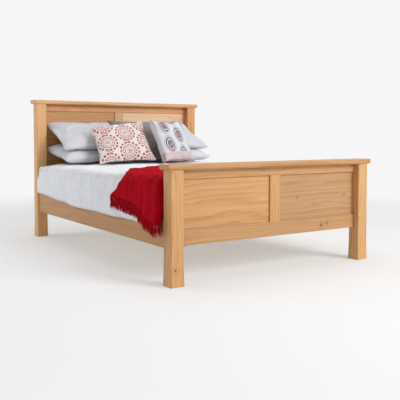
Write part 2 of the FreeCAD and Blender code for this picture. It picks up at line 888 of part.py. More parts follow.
def throw_region():
    """Where the throw lies: its rear edge bows towards the pillows on top and falls back as it hangs."""
    shoulder_x = inner_hem + duvet_hang_thickness - duvet_shoulder / 2
    shoulder_z = cover_outer_top - duvet_shoulder / 2
    rear_y = throw_foot_end + throw_length_at_shoulder
    far_x = width_over_posts
    hem = throw_hem_points(0)
    rear_corner = V(0, rear_y, shoulder_z)
    rear_edge = arc3(rear_corner, V(0, throw_foot_end + throw_length_at_side, throw_side_height), hem[0])
    rest = Part.makePolygon(hem + [V(0, throw_foot_end, shoulder_z), rear_corner])
    hanging = across_bed(Part.Face(Part.Wire([rear_edge] + rest.Edges)))
    bow = arc3(V(-shoulder_x, rear_y, shoulder_z), V(0, throw_rear_in_middle, shoulder_z),
               V(shoulder_x, rear_y, shoulder_z))
    sides = Part.makePolygon([
        V(shoulder_x, rear_y, shoulder_z),
        V(far_x, rear_y, shoulder_z),
        V(far_x, throw_foot_end, shoulder_z),
        V(-far_x, throw_foot_end, shoulder_z),
        V(-far_x, rear_y, shoulder_z),
        V(-shoulder_x, rear_y, shoulder_z),
    ])
    lying = Part.Face(Part.Wire([bow] + sides.Edges)).extrude(Z_AXIS * mattress_thickness)
    return hanging.fuse(lying)


def throw_and_fringe():
    """Sheet and fringe over the covers and round their foot end."""
    inner = throw_body(throw_gap)
    hollow = bed_hollow()
    skin = throw_body(throw_gap + throw_thickness).cut(inner)
    sheet = skin.common(throw_region()).cut(hollow)
    outline = throw_hem_points(0) + throw_hem_points(fringe_length)[::-1]
    band = across_bed(Part.Face(Part.makePolygon(outline + outline[:1])))
    thin = throw_body(throw_gap + fringe_thickness).cut(inner)
    return sheet, thin.common(band).cut(hollow)


# ---------------------------------------------------------------- pillows and cushions
def barrel(length, height, thickness, seam):
    """Bar along X, as thick as the seam at its edges and crowned between them."""
    rim = seam / 2
    crown = thickness / 2
    x = -length / 2
    front = arc3(V(x, -rim, -height / 2), V(x, -crown, 0), V(x, -rim, height / 2))
    back = arc3(V(x, rim, height / 2), V(x, crown, 0), V(x, rim, -height / 2))
    top = Part.makeLine(V(x, -rim, height / 2), V(x, rim, height / 2))
    bottom = Part.makeLine(V(x, rim, -height / 2), V(x, -rim, -height / 2))
    return Part.Face(Part.Wire([front, top, back, bottom])).extrude(V(length, 0, 0))


def cushion_form(width, height, thickness, seam, draw_in):
    """Crowned pad on edge: two crossed barrels, with drawn-in sides between the corners."""
    upright = barrel(height, width, thickness, seam)
    upright.rotate(V(0, 0, 0), Y_AXIS, 90)
    pad = barrel(width, height, thickness, seam).common(upright)
    for span, reach, axis in ((height, width / 2, X_AXIS), (width, height / 2, Z_AXIS)):
        half_chord = span / 2 + corner_trim
        radius = (half_chord ** 2 + draw_in ** 2) / (2 * draw_in)
        for side in (-1, 1):
            middle = axis * (side * (reach - draw_in + radius))
            pad = pad.cut(Part.makeCylinder(radius, 2 * thickness, middle - Y_AXIS * thickness, Y_AXIS))
    return pad


def boxed_cushion(width, height, thickness, band, slope):
    """Plain pad on edge: a band all round, and both faces sloped up to a flat middle."""
    right, top = width / 2, height / 2
    pad = block((-right, right), (-band / 2, band / 2), (-top, top))
    crown = Part.makeWedge(-right, band / 2, -top, slope - top, slope - right,
                           right, thickness / 2, top, top - slope, right - slope)
    back = crown.copy()
    back.rotate(V(0, 0, 0), Z_AXIS, 180)
    return pad.fuse([crown, back]).removeSplitter()


def placed(pad, centre, turn, lean, tilt=0.0):
    """Tilt in its own plane, lean back from upright, then turn about Z; degrees."""
    pad = pad.copy()
    pad.rotate(V(0, 0, 0), Y_AXIS, tilt)
    pad.rotate(V(0, 0, 0), X_AXIS, -lean)
    pad.rotate(V(0, 0, 0), Z_AXIS, turn)
    pad.translate(centre)
    return pad


def settled(pad, supports, direction):
    """Slide a pad along a direction until it rests on what carries it."""
    under = Part.makeCompound(supports)
    for step in range(20):
        gap = pad.distToShape(under)[0]
        if abs(gap - rest_gap) < rest_tolerance:
            break
        pad.translate(direction * (gap - rest_gap))
    return pad


def nestled(pad, floor, pile, towards_pile):
    """Stand a pad on the covers and lean it against the pile."""
    retreat = 10 * rest_gap
    pad = settled(pad, [floor], -Z_AXIS)
    for turn in range(3):
        pad.translate(towards_pile * -retreat)
        pad = settled(pad, pile, towards_pile)
        pad.translate(Z_AXIS * retreat)
        pad = settled(pad, [floor], -Z_AXIS)
    return pad


def covers():
    save("mattress", mattress())
    save("duvet", duvet())
    sheet, fringe = throw_and_fringe()
    save("throw", sheet)
    save("throw_fringe", fringe)


def pillow_rows():
    """Two rows of two pillows against the headboard, the lower row nearly flat."""
    headboard = [made["head_muntin"], made["head_panel_left"], made["head_panel_right"]]
    pillow = cushion_form(pillow_width, pillow_height, pillow_thickness, pillow_seam, pillow_draw_in)
    start_y = head_frame_face - pillow_height
    pile = []
    for level, lean, lift in (("lower", 80.0, 130.0), ("upper", 64.0, 330.0)):
        row = []
        for name, side in (("left", -1), ("right", 1)):
            centre = V(side * (pillow_width + pillow_middle_gap) / 2, start_y, mattress_top + lift)
            pad = settled(placed(pillow, centre, 0, lean), headboard, Y_AXIS)
            pad = settled(pad, pile + [made["duvet"]], -Z_AXIS)
            save("pillow_" + level + "_" + name, pad)
            row.append(pad)
        pile += row
    return pile


def cushions(pile):
    """Grey pillow and two cushions, each leaning on what lies behind it."""
    grey = cushion_form(grey_pillow_width, grey_pillow_height, grey_pillow_thickness, pillow_seam,
                        pillow_draw_in)
    sprig = cushion_form(sprig_cushion_width, sprig_cushion_height, cushion_thickness, cushion_seam,
                         cushion_draw_in)
    boxed = boxed_cushion(print_cushion_width, print_cushion_height, cushion_thickness,
                          print_cushion_band, print_cushion_slope)
    start_z = mattress_top + sprig_cushion_height
    places = [
        ("pillow_grey", grey, V(-30, 400, start_z), V(0.48, 0.88, 0), 2, 41, 0),
        ("cushion_sprig", sprig, V(-376, 200, start_z), V(0.44, 0.90, 0), -12, 41, -4),
        ("cushion_print", boxed, V(87, 300, start_z), V(0.52, 0.85, 0), 24, 24, 0),
    ]
    for name, form, centre, towards_pile, turn, lean, tilt in places:
        towards_pile.normalize()
        pad = nestled(placed(form, centre, turn, lean, tilt), made["duvet"], pile, towards_pile)
        save(name, pad)
        pile.append(pad)


# ---------------------------------------------------------------- the bed
made = {}


def main():
    os.makedirs("parts", exist_ok=True)
    end_frame("foot", foot_frame_face, -1, foot_post_height, foot_top_rail_height)
    end_frame("head", head_frame_face, 1, head_post_height, head_top_rail_height)
    save("cap_dowels", cap_dowels())

    rail = side_rail()
    save("side_rail_right", rail)
    save("side_rail_left", mirrored(rail))
    strip = ledger()
    save("slat_ledger_right", strip)
    save("slat_ledger_left", mirrored(strip))
    brackets = []
    for end in (-1, 1):
        brackets += right_and_left(corner_bracket(end))
    save("corner_brackets", Part.makeCompound(brackets))
    save("bed_bolts", bed_bolts())
    save("bracket_screws", bracket_screws())
    save("ledger_screws", ledger_screws())

    for number, y in enumerate(slat_places(), 1):
        save("slat_%02d" % number, slat(y))
    save("slat_screws", slat_screws())
    for name, side in (("left", -1), ("right", 1)):
        save("slat_tape_" + name, slat_tape(side))
    save("centre_rail", centre_rail())
    for name, end in (("foot", -1), ("head", 1)):
        save("centre_rail_shoe_" + name, centre_rail_shoe(end))
    for name, y in (("foot", 0.0), ("head", centre_leg_spacing)):
        save("centre_leg_" + name, centre_leg(y))
        save("centre_glide_" + name, centre_glide(y))

    covers()
    cushions(pillow_rows())
    print(len(made), "nodes")


main()
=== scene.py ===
import bpy
import bmesh
import math
import random
import numpy
from mathutils import Matrix, Vector, noise
from mathutils.bvhtree import BVHTree


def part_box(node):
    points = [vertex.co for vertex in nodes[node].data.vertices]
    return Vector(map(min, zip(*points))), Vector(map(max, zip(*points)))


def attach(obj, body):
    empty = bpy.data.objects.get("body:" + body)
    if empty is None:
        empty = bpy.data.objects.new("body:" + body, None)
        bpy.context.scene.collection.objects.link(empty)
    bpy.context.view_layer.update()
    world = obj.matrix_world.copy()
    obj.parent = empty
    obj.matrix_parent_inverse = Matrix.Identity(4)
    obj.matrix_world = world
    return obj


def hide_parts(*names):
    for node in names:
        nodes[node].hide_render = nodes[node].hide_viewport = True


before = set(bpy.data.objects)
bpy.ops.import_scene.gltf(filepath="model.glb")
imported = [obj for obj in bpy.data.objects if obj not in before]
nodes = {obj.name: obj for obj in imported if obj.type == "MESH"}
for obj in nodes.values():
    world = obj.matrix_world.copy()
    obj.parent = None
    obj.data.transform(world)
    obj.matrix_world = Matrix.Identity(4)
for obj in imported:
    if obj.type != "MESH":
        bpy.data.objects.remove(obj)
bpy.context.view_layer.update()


# ---------------------------------------------------------------- material graph helpers
class Graph:
    """A material and short ways to add nodes to it."""

    def __init__(self, name):
        self.material = bpy.data.materials.new(name)
        self.material.use_nodes = True
        self.tree = self.material.node_tree
        self.shader = self.tree.nodes["Principled BSDF"]

    def add(self, kind, sockets=None, **settings):
        made = self.tree.nodes.new(kind)
        for key, value in settings.items():
            setattr(made, key, value)
        for key, value in (sockets or {}).items():
            self.put(made.inputs[key], value)
        return made

    def put(self, socket, value):
        if isinstance(value, bpy.types.NodeSocket):
            self.tree.links.new(value, socket)
        else:
            socket.default_value = value

    def math(self, operation, a, b=0.0):
        return self.add("ShaderNodeMath", {0: a, 1: b}, operation=operation).outputs[0]

    def total(self, *parts):
        """Sum of (value, weight) parts."""
        summed = None
        for value, weight in parts:
            part = self.math("MULTIPLY", value, weight)
            summed = part if summed is None else self.math("ADD", summed, part)
        return summed

    def highest(self, *values):
        top = values[0]
        for value in values[1:]:
            top = self.math("MAXIMUM", top, value)
        return top

    def hypotenuse(self, x, y):
        squares = self.math("ADD", self.math("MULTIPLY", x, x), self.math("MULTIPLY", y, y))
        return self.math("SQRT", squares)

    def from_middle(self, cells, whole):
        """Place in a cell, from its middle; a whole number of cells keeps the value above 0."""
        return self.math("SUBTRACT", self.math("FRACT", self.math("ADD", cells, whole)), 0.5)

    def length(self, operation, a, b=(0, 0, 0)):
        """LENGTH of a vector, or DISTANCE between two."""
        return self.add("ShaderNodeVectorMath", {0: a, 1: b}, operation=operation).outputs["Value"]

    def mapped(self, coordinates, location=(0, 0, 0), rotation=(0, 0, 0), scale=(1, 1, 1)):
        return self.add("ShaderNodeMapping", {
            "Vector": coordinates, "Location": location, "Rotation": rotation, "Scale": scale}).outputs[0]

    def place(self):
        """Object coordinates: the bed's own, because every piece sits at the origin."""
        return self.add("ShaderNodeTexCoord").outputs["Object"]

    def split(self, place):
        return self.add("ShaderNodeSeparateXYZ", {0: place}).outputs

    def noise(self, coordinates, scale, detail=3.0, roughness=0.5, distortion=0.0):
        return self.add("ShaderNodeTexNoise", {
            "Vector": coordinates, "Scale": scale, "Detail": detail, "Roughness": roughness,
            "Distortion": distortion}).outputs[0]

    def ramp(self, factor, stops):
        """Colour ramp through (position, colour) stops."""
        made = self.add("ShaderNodeValToRGB", {"Fac": factor})
        ramp = made.color_ramp
        while len(ramp.elements) < len(stops):
            ramp.elements.new(0.5)
        for element, (position, colour) in zip(ramp.elements, stops):
            element.position = position
            element.color = (*linear(colour), 1)
        return made.outputs[0]

    def between(self, value, low, high):
        """0 at low, 1 at high, and level past both."""
        return self.add("ShaderNodeMapRange", {"Value": value, "From Min": low, "From Max": high}).outputs[0]

    def spread(self, value, low, high, start=0.0, end=1.0):
        """A value that goes from start to end, spread over low to high."""
        return self.add("ShaderNodeMapRange", {
            "Value": value, "From Min": start, "From Max": end, "To Min": low, "To Max": high}).outputs[0]

    def mix(self, factor, a, b, blend="MIX"):
        made = self.add("ShaderNodeMix", data_type="RGBA", blend_type=blend, clamp_factor=True)
        self.put(made.inputs[0], factor)
        self.put(made.inputs[6], (*linear(a), 1) if isinstance(a, tuple) else a)
        self.put(made.inputs[7], (*linear(b), 1) if isinstance(b, tuple) else b)
        return made.outputs[2]

    def bump(self, height, strength, distance):
        made = self.add("ShaderNodeBump", {"Height": height, "Strength": strength, "Distance": distance})
        self.put(self.shader.inputs["Normal"], made.outputs[0])

    def colour(self, value):
        self.put(self.shader.inputs["Base Color"], value)

    def set(self, **sockets):
        for key, value in sockets.items():
            self.put(self.shader.inputs[key.replace("_", " ")], value)


def linear(colour):
    """Colour written as 0-255 screen values, as Blender's linear values."""
    return tuple((c / 255) ** 2.2 for c in colour)


def wear(name, material):
    """Give a CAD node its finish through its object's slots."""
    piece = nodes[name]
    if not piece.material_slots:
        piece.data.materials.append(None)
    for slot in piece.material_slots:
        slot.link = "OBJECT"
        slot.material = material


# ---------------------------------------------------------------- oak and other board finishes
# each wood: pale, middle and dark tone
oak_tones = ((220, 172, 118), (204, 152, 99), (160, 106, 60))
pine_tones = ((238, 216, 172), (226, 196, 146), (196, 152, 100))
beech_tones = ((232, 204, 168), (220, 186, 144), (196, 158, 114))
oak_knot = (96, 54, 28)
# how far a knot bends the rings, and how far its dark heart goes, as shares of its size
knot_reach, knot_heart = 3.2, 0.35
ring_density = 2.3
slat_count = 13
to_grain = {"x": (0, math.pi / 2, 0), "y": (math.pi / 2, 0, 0), "z": (0, 0, 0)}


def board(name, grain, seed, tones=oak_tones, tint=None, knots=(), rings=1.0):
    """Planed board with its grain along one axis: growth rings, streaks, pores, and knots at given places."""
    g = Graph(name)
    place = g.place()
    knotted = []
    for spot, size in knots:
        away = g.length("DISTANCE", place, spot)
        knotted.append((g.between(away, size * knot_reach, 0.0), g.between(away, size, size * knot_heart)))
    if knotted:
        bent, core = (g.highest(*values) for values in zip(*knotted))
    along = g.mapped(place, rotation=to_grain[grain])
    # each seed cuts its board from another part of the wood
    moved = g.mapped(along, location=(seed * 0.37, seed * 0.53, seed * 0.71))

    def figure(across, length, detail, roughness):
        return g.noise(g.mapped(moved, scale=(across, across, length)), 1.0, detail, roughness)

    # slow drift of the rings along the board makes tall pointed arches
    drift = figure(5.0, 0.8, 2.0, 0.45)
    swirl = figure(26.0, 2.2, 2.0, 0.5)
    flat = g.split(moved)
    ring = g.math("ADD", g.total((drift, 4.6), (swirl, 0.8)), g.total((flat[0], 16.0), (flat[1], 10.0)))
    if knotted:
        ring = g.math("ADD", ring, g.math("MULTIPLY", bent, 1.6))
    ring = g.math("FRACT", g.math("MULTIPLY", ring, ring_density * rings))
    # each ring darkens slowly and ends sharply
    late = g.math("MULTIPLY", g.math("POWER", ring, 2.4), g.between(ring, 1.0, 0.9))
    streak = figure(88.0, 1.7, 4.0, 0.65)
    fine = figure(420.0, 9.0, 2.0, 0.6)
    patch = figure(4.0, 1.4, 2.0, 0.5)
    tone = g.total((late, 0.20), (streak, 0.46), (patch, 0.30), (g.math("SUBTRACT", fine, 0.5), 0.22))
    shade = g.ramp(tone, [(0.28, tones[0]), (0.50, tones[1]), (0.84, tones[2])])
    # open pores crowd together towards the end of each ring
    open_wood = g.between(figure(900.0, 34.0, 1.0, 0.5), 0.60, 0.70)
    pores = g.math("MULTIPLY", open_wood, g.between(ring, 0.1, 0.8))
    shade = g.mix(g.math("MULTIPLY", pores, 0.34), shade, oak_knot)
    if knotted:
        shade = g.mix(g.math("MULTIPLY", bent, 0.30), shade, tones[2])
        shade = g.mix(g.math("MULTIPLY", core, 0.75), shade, oak_knot)
    if tint:
        shade = g.mix(1.0, shade, tint, "MULTIPLY")
    g.colour(shade)
    g.set(Roughness=g.spread(fine, 0.40, 0.56), Specular_IOR_Level=0.42, Coat_Weight=0.10,
          Coat_Roughness=0.35)
    g.bump(g.math("SUBTRACT", g.math("MULTIPLY", fine, 0.5), g.math("MULTIPLY", pores, 0.8)), 0.22, 0.0004)
    return g.material


def oak_pieces():
    """Every oak board has its own cut of the grain: its direction, seed, tint, ring count and knots."""
    # a darker tint for the left side rail: painted shade on the side that faces away from the main light
    painted_side_shade = (215, 206, 192)
    # paler tones for the right head panel: a painted highlight of the light that falls on it
    painted_highlight_tones = ((238, 204, 168), (226, 186, 148), (186, 140, 100))
    recipes = {
        "foot_post_left": ("z", 1.0, (244, 243, 239), 1.0, [((-0.702, -1.035, 0.088), 0.010)]),
        "foot_post_right": ("z", 2.3, (246, 248, 246), 1.1, [((0.655, -1.035, 0.268), 0.006)]),
        "head_post_left": ("z", 3.1, None, 0.9, []),
        "head_post_right": ("z", 4.7, (250, 238, 232), 1.0, []),
        "foot_cap": ("x", 5.2, (221, 211, 197), 0.6, []),
        "head_cap": ("x", 6.1, None, 1.0, []),
        "foot_top_rail": ("x", 7.4, (232, 228, 224), 1.0, []),
        "foot_bottom_rail": ("x", 8.8, (219, 217, 217), 1.2,
                             [((0.365, -0.995, 0.240), 0.012), ((0.412, -0.995, 0.249), 0.009)]),
        "head_top_rail": ("x", 9.5, (250, 240, 236), 1.0, []),
        "head_bottom_rail": ("x", 10.3, None, 1.0, []),
        "foot_muntin": ("z", 11.9, (234, 230, 222), 1.2, []),
        "head_muntin": ("z", 12.6, None, 1.0, []),
        "foot_panel_left": ("x", 13.1, (235, 232, 225), 0.8, []),
        "foot_panel_right": ("x", 14.5, (214, 214, 223), 0.8,
                             [((0.175, -0.985, 0.418), 0.007), ((0.570, -0.985, 0.415), 0.006)]),
        "head_panel_left": ("x", 15.7, (236, 230, 206), 0.8, []),
        "head_panel_right": ("x", 16.2, None, 0.8, []),
        "side_rail_left": ("y", 17.6, painted_side_shade, 0.8, []),
        "side_rail_right": ("y", 18.4, None, 0.8, []),
    }
    for name, (grain, seed, tint, rings, knots) in recipes.items():
        # the right head panel takes the paler tones of the painted highlight
        tones = painted_highlight_tones if name == "head_panel_right" else oak_tones
        wear(name, board("oak_" + name, grain, seed, tones, tint, knots, rings))


def slat_pieces():
    """Pine under the mattress, and the beech dowels of the caps."""
    for number in range(1, slat_count + 1):
        name = "slat_%02d" % number
        wear(name, board("pine_" + name, "x", 20.0 + number * 1.3, pine_tones, rings=0.7))
    for name, grain, seed in (("centre_rail", "y", 41.0), ("slat_ledger_left", "y", 59.0),
                              ("slat_ledger_right", "y", 60.0), ("centre_leg_foot", "z", 178.0),
                              ("centre_leg_head", "z", 162.0)):
        wear(name, board("pine_" + name, grain, seed, pine_tones))
    wear("cap_dowels", board("beech_dowels", "z", 52.0, beech_tones, rings=0.5))


def zinc_plate(name):
    """Bright zinc on steel: small crystals, faint blue and yellow cast."""
    g = Graph(name)
    place = g.place()
    crystals = g.add("ShaderNodeTexVoronoi", {"Vector": place, "Scale": 320.0}).outputs["Distance"]
    cast = g.noise(place, 45.0, 3.0, 0.6)
    shade = g.ramp(cast, [(0.3, (186, 190, 198)), (0.55, (200, 200, 196)), (0.8, (206, 200, 182))])
    g.colour(g.mix(g.math("MULTIPLY", crystals, 0.4), shade, (150, 152, 156)))
    g.set(Metallic=1.0, Roughness=g.spread(cast, 0.26, 0.46))
    g.bump(crystals, 0.10, 0.0003)
    return g.material


def moulded_black(name):
    """Black plastic with the fine grain of its mould."""
    g = Graph(name)
    grain = g.noise(g.place(), 900.0, 2.0, 0.6)
    g.colour(g.ramp(grain, [(0.3, (26, 26, 27)), (0.7, (44, 44, 45))]))
    g.set(Roughness=0.55)
    g.bump(grain, 0.3, 0.0002)
    return g.material


def tape_webbing(name):
    """Plain-woven webbing that holds the slats apart: uneven yarn, soft sheen."""
    g = Graph(name)
    place = g.place()
    weave = yarns(g, place, 0.004, 0.002)
    slub = g.noise(place, 240.0, 2.0, 0.7)
    # the weave's height darkens the colour between the threads as painted shade; the slub is the yarn's own
    # uneven tone
    g.colour(g.ramp(g.total((weave, 0.16), (slub, 0.7)), [(0.15, (180, 180, 170)), (0.60, (222, 222, 214))]))
    g.set(Roughness=0.85, Sheen_Weight=0.3, Sheen_Roughness=0.5, Specular_IOR_Level=0.25)
    g.bump(g.total((weave, 0.5), (slub, 0.6)), 0.45, 0.0004)
    return g.material


# ---------------------------------------------------------------- cloth finishes
# how wide (mm) the edge of a printed leaf fades
ink_edge = 0.8


def yarns(g, place, warp, weft):
    """Height of a plain weave: threads going over and under at a real pitch, with a little wobble."""
    flat = g.split(place)
    wobble = g.math("MULTIPLY", g.noise(place, 60.0, 2.0, 0.5), 0.9)
    u, v = (g.math("ADD", g.math("MULTIPLY", flat[axis], 2 * math.pi / pitch), wobble)
            for axis, pitch in enumerate((warp, weft)))
    return g.math("MULTIPLY", g.math("SINE", u), g.math("SINE", v))


def cloth_graph(name):
    """A cloth's material, and each point's place on the flat cloth."""
    g = Graph(name)
    place = g.add("ShaderNodeAttribute", attribute_name=pad_layer).outputs["Vector"]
    return g, place


def upright(g, place):
    """A pad's own width and height, as the flat pair that a weave takes."""
    flat = g.split(place)
    return g.add("ShaderNodeCombineXYZ", {0: flat[0], 1: flat[2], 2: 0.0}).outputs[0]


def white_cotton(name, light, dark, fold_depth):
    """Washed percale: fine weave, and creases with a painted highlight on top and a cooler painted shade in
    the hollows between them.
    """
    g, place = cloth_graph(name)
    weave = yarns(g, place, 0.0011, 0.0009)
    body = g.place()
    soft = g.noise(body, 9.0, 3.0, 0.5)
    creased = g.noise(g.mapped(body, rotation=(0.3, 0.2, 0.5), scale=(14.0, 34.0, 20.0)), 1.0, 3.0, 0.6, 0.6)
    turned = g.mapped(body, rotation=(0.55, 0.0, 0.35), scale=(4.0, 13.0, 5.0))
    fold = g.add("ShaderNodeTexNoise", {
        "Vector": turned, "Scale": 1.0, "Detail": 3.0, "Roughness": 0.55, "Distortion": 0.9},
        noise_type="RIDGED_MULTIFRACTAL", normalize=True).outputs[0]
    # painted highlight on the ridges of the folds and painted shade in their hollows, with some random tone
    # from a soft noise
    painted_crease_light_and_tone = g.total((g.between(fold, 0.30, 0.75), 0.7), (g.between(soft, 0.3, 0.7), 0.3))
    g.colour(g.mix(painted_crease_light_and_tone, dark, light))
    g.set(Roughness=0.85, Sheen_Weight=0.25, Sheen_Roughness=0.5, Specular_IOR_Level=0.2)
    g.bump(g.total((weave, 0.02), (creased, 0.35), (fold, fold_depth)), 1.0, 0.024)
    return g.material


def grey_linen():
    """Slubby mid-grey linen."""
    g, place = cloth_graph("grey_linen_cloth")
    flat = upright(g, place)
    weave = yarns(g, flat, 0.0021, 0.0019)
    slub = g.noise(g.mapped(flat, scale=(60.0, 900.0, 1.0)), 1.0, 2.0, 0.6)
    # the weave's height darkens the colour between the threads as painted shade; the slub is the yarn's own
    # uneven tone
    tone = g.math("ADD", g.math("MULTIPLY", weave, 0.22), slub)
    g.colour(g.ramp(tone, [(0.25, (98, 95, 92)), (0.5, (124, 121, 117)), (0.8, (146, 143, 138))]))
    g.set(Roughness=0.9, Sheen_Weight=0.3, Specular_IOR_Level=0.2)
    g.bump(g.math("ADD", weave, slub), 0.5, 0.0006)
    return g.material


def crimson_wool(name, loose=False):
    """Thick crimson yarn, with painted shade between its threads, or loose yarns with no weave."""
    g, place = cloth_graph(name)
    body = g.place()
    mottle = g.noise(body, 160.0 if loose else 90.0, 3.0, 0.65)
    if loose:
        weave = g.math("SINE", g.math("MULTIPLY", mottle, 30.0))
        tone = mottle
    else:
        weave = yarns(g, place, 0.0060, 0.0042)
        cloud = g.noise(body, 11.0, 2.0, 0.5)
        # the weave's height darkens the colour between the threads as painted shade; mottle and cloud are the
        # yarn's own uneven tone
        tone = g.math("ADD", g.math("MULTIPLY", weave, 0.13), g.total((mottle, 0.7), (cloud, 0.3)))
    g.colour(g.ramp(tone, [(0.22, (104, 0, 8)), (0.48, (176, 0, 28)), (0.80, (222, 14, 50))]))
    g.set(Roughness=0.92, Sheen_Weight=0.10, Sheen_Roughness=0.6, Specular_IOR_Level=0.08,
          Sheen_Tint=(*linear((190, 20, 45)), 1))
    g.bump(g.math("ADD", weave, g.math("MULTIPLY", mottle, 1.4)), 0.7, 0.0016)
    return g.material


def ticking(name):
    """Off-white damask with a small woven figure."""
    g, place = cloth_graph(name)
    weave = yarns(g, place, 0.0016, 0.0012)
    figure = g.add("ShaderNodeTexVoronoi", {"Vector": place, "Scale": 46.0}).outputs["Distance"]
    g.colour(g.mix(g.between(figure, 0.30, 0.36), (232, 230, 222), (218, 216, 208)))
    g.set(Roughness=0.7, Sheen_Weight=0.3)
    g.bump(g.math("ADD", g.math("MULTIPLY", weave, 0.3), figure), 0.3, 0.0008)
    return g.material


def half_drop(g, place, pitch_x, pitch_z, shift=(0.0, 0.0)):
    """Offsets, distance (mm) and turn from the middle of each cell, every other column dropped by half."""
    flat = g.split(place)
    x = g.math("DIVIDE", g.math("ADD", flat[0], shift[0]), pitch_x)
    odd = g.math("MODULO", g.math("ABSOLUTE", g.math("FLOOR", x)), 2.0)
    z = g.math("DIVIDE", g.math("ADD", flat[2], shift[1]), pitch_z)
    z = g.math("ADD", z, g.math("MULTIPLY", odd, 0.5))
    dx = g.math("MULTIPLY", g.from_middle(x, 50.0), pitch_x * 1000)
    dz = g.math("MULTIPLY", g.from_middle(z, 50.0), pitch_z * 1000)
    return dx, dz, g.hypotenuse(dx, dz), g.math("ARCTAN2", dz, dx)


def dotted_rings(g, radius, turn, inner, growth, count, rings):
    """Rings of dots that grow outwards from a middle."""
    share = g.math("MAXIMUM", g.math("DIVIDE", radius, inner), 0.01)
    level = g.math("DIVIDE", g.math("LOGARITHM", share, math.e), math.log(growth))
    ring = g.math("FLOOR", level)
    along = g.total((turn, count / (2 * math.pi)), (ring, 0.5))
    away = g.hypotenuse(g.from_middle(along, 200.0), g.from_middle(level, 50.0))
    inside = g.math("MULTIPLY", g.between(ring, -0.5, -0.4), g.between(ring, rings - 0.4, rings - 0.5))
    return g.math("MULTIPLY", g.between(away, 0.40, 0.32), inside)


def petals(g, radius, turn, count, reach, start):
    """Narrow leaves round a middle."""
    wave = g.math("ABSOLUTE", g.math("COSINE", g.math("MULTIPLY", turn, count / 2)))
    edge = g.math("MULTIPLY", g.math("POWER", wave, 3.0), reach)
    return g.math("MULTIPLY", g.between(g.math("SUBTRACT", edge, radius), 0.0, ink_edge),
                  g.between(radius, start, start + ink_edge))


def worn_ink(g, place, cover):
    """Block-printed ink, a little thin in places."""
    return g.math("MULTIPLY", cover, g.spread(g.noise(place, 70.0, 3.0, 0.6), 0.62, 0.96, 0.25, 0.6))


def printed(g, place, shade):
    """Finish of a printed cotton: its weave shows through the ink as painted shade between the threads."""
    weave = yarns(g, upright(g, place), 0.0014, 0.0012)
    # colour scaled down in the dips of the weave: painted shade between the threads
    lit = g.spread(weave, 0.95, 1.0, -1.0)
    g.colour(g.add("ShaderNodeVectorMath", {0: shade, "Scale": lit}, operation="SCALE").outputs[0])
    g.set(Roughness=0.85, Sheen_Weight=0.2, Specular_IOR_Level=0.2)
    g.bump(g.math("ADD", weave, g.noise(place, 300.0, 2.0, 0.6)), 0.35, 0.0005)
    return g.material


def sprig_print():
    """Cream cotton with crimson dotted roundels in a half drop, and leafy stars between them."""
    g, place = cloth_graph("sprig_cotton_cloth")
    pitch_x, pitch_z, shift_x, shift_z = 0.150, 0.168, 0.052, 0.040
    _, _, radius, turn = half_drop(g, place, pitch_x, pitch_z, (shift_x, shift_z))
    _, _, near, spin = half_drop(g, place, pitch_x, pitch_z, (shift_x, shift_z + pitch_z / 2))
    ink = g.highest(dotted_rings(g, radius, turn, 29.0, 1.42, 15, 3), petals(g, radius, turn, 10, 26.0, 6.0),
                    g.between(radius, 4.4, 3.8), petals(g, near, spin, 6, 27.0, 5.0))
    ground = g.mix(g.noise(place, 12.0, 3.0, 0.5), (232, 223, 216), (222, 211, 203))
    return printed(g, place, g.mix(worn_ink(g, place, ink), ground, (158, 42, 74)))


def slate_print():
    """Pale grey cotton with slate ovals holding crimson seeds, over a band of pink speckles."""
    g, place = cloth_graph("slate_cotton_cloth")
    dx, dz, radius, turn = half_drop(g, place, 0.142, 0.158, (0.030, 0.044))
    narrow = g.math("MULTIPLY", g.math("MULTIPLY", dx, dx), 1.75)
    oval = g.math("SQRT", g.math("ADD", narrow, g.math("MULTIPLY", dz, dz)))
    outline = g.between(g.math("ABSOLUTE", g.math("SUBTRACT", oval, 72.0)), 2.6, 1.8)
    gap = g.between(g.math("ABSOLUTE", g.math("SUBTRACT", oval, 41.0)), 4.4, 3.6)
    slate = g.math("MULTIPLY", g.highest(g.between(oval, 61.0, 60.0), outline), g.math("SUBTRACT", 1.0, gap))
    core = g.between(oval, 27.0, 26.0)
    pips = petals(g, radius, turn, 8, 18.0, 4.0)
    _, _, speck, _ = half_drop(g, place, 0.0120, 0.0116)
    low = g.between(g.split(place)[2], -0.100, -0.104)
    ground = g.mix(g.noise(place, 14.0, 3.0, 0.5), (218, 218, 221), (206, 206, 210))
    shade = g.mix(worn_ink(g, place, slate), ground, (92, 96, 108))
    shade = g.mix(worn_ink(g, place, core), shade, (146, 44, 72))
    shade = g.mix(g.math("MULTIPLY", pips, core), shade, (216, 208, 210))
    shade = g.mix(low, shade, (214, 206, 208))
    shade = g.mix(g.math("MULTIPLY", low, g.between(speck, 3.6, 3.0)), shade, (190, 96, 118))
    return printed(g, place, shade)


def plain_seam(name, colour):
    """Twisted thread along a seam."""
    g = Graph(name)
    twist = g.noise(g.place(), 700.0, 2.0, 0.6)
    dark = tuple(value * 0.82 for value in colour)
    g.colour(g.ramp(twist, [(0.3, dark), (0.7, colour)]))
    g.set(Roughness=0.9, Sheen_Weight=0.2)
    g.bump(twist, 0.4, 0.0003)
    return g.material


# ---------------------------------------------------------------- soft goods: shared steps
# how much of the room to its neighbours a soft piece may fill, and the gap that always stays
share_of_room = 0.45
clear_gap = 0.0004
pad_layer = "cloth_place"


def merged(name):
    """A joined-up copy of a CAD node's mesh, ready to work on."""
    form = bmesh.new()
    form.from_mesh(nodes[name].data)
    bmesh.ops.remove_doubles(form, verts=form.verts, dist=0.00002)
    bmesh.ops.recalc_face_normals(form, faces=form.faces)
    return form


